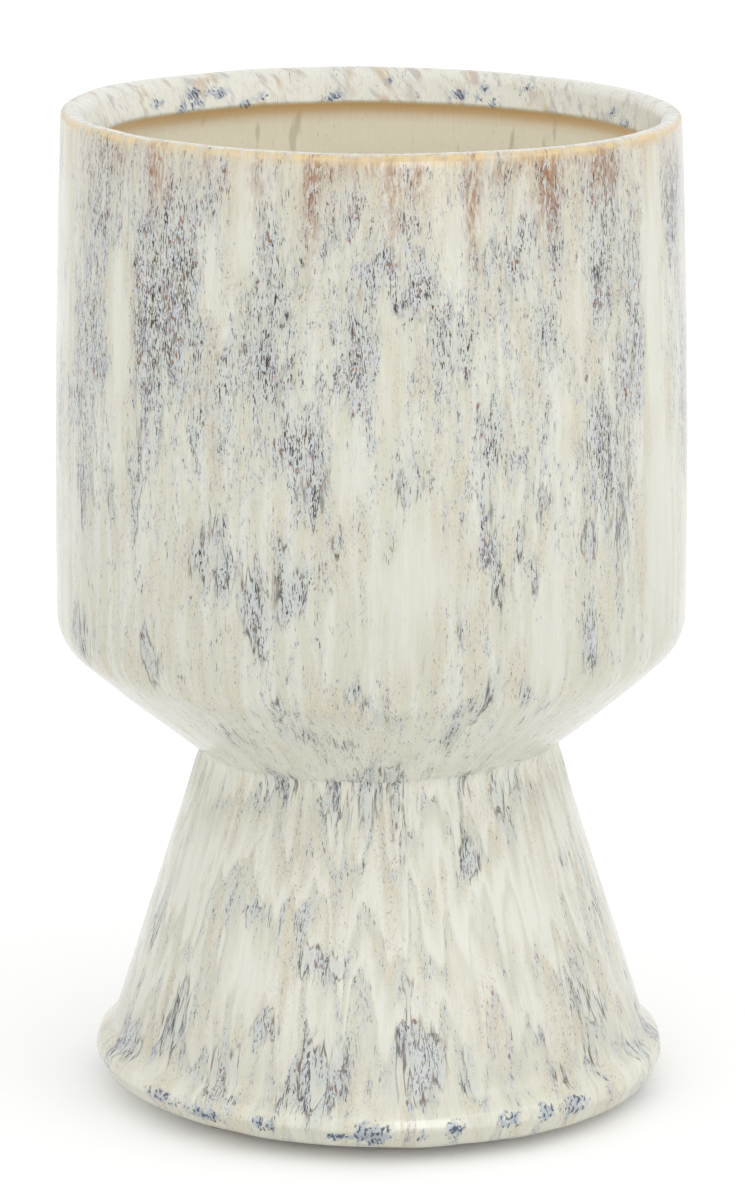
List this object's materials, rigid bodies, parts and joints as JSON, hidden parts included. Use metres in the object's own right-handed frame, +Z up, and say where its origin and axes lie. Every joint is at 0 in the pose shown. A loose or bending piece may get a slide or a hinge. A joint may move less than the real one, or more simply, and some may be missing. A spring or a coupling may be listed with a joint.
{
  "type": "footed stoneware planter",
  "caption": "Footed stoneware planter: a deep open bowl with a rolled lip, luted on a hollow conical pedestal, with a lift-out drain plug and felt pads.",
  "frame": {"origin": "on the surface that the planter stands on, below the bowl's axis", "axes": "+Z up along the axis that the bowl and the pedestal are turned about; X and Y are equal, with the felt pads on their diagonals"},
  "size_m": [0.1898, 0.1898, 0.3],
  "materials": {
    "glazed_stoneware": "glossy reactive glaze, cream with blue-grey and brown streaks",
    "fired_slip": "fired clay slip under the glaze",
    "plug_rubber": "matte rubber",
    "felt": "pressed wool felt"
  },
  "bodies": {
    "planter": {"bowl": "glazed_stoneware", "pedestal": "glazed_stoneware", "luting_slip": "fired_slip", "felt_pad_1": "felt", "felt_pad_2": "felt", "felt_pad_3": "felt", "felt_pad_4": "felt"},
    "drain_plug": {"drain_plug": "plug_rubber"}
  },
  "joints": [
    {"name": "drain_plug_lift", "type": "slide", "parent": "planter", "child": "drain_plug", "axis": [0, 0, 1], "range_m": [0, 0.2]}
  ]
}
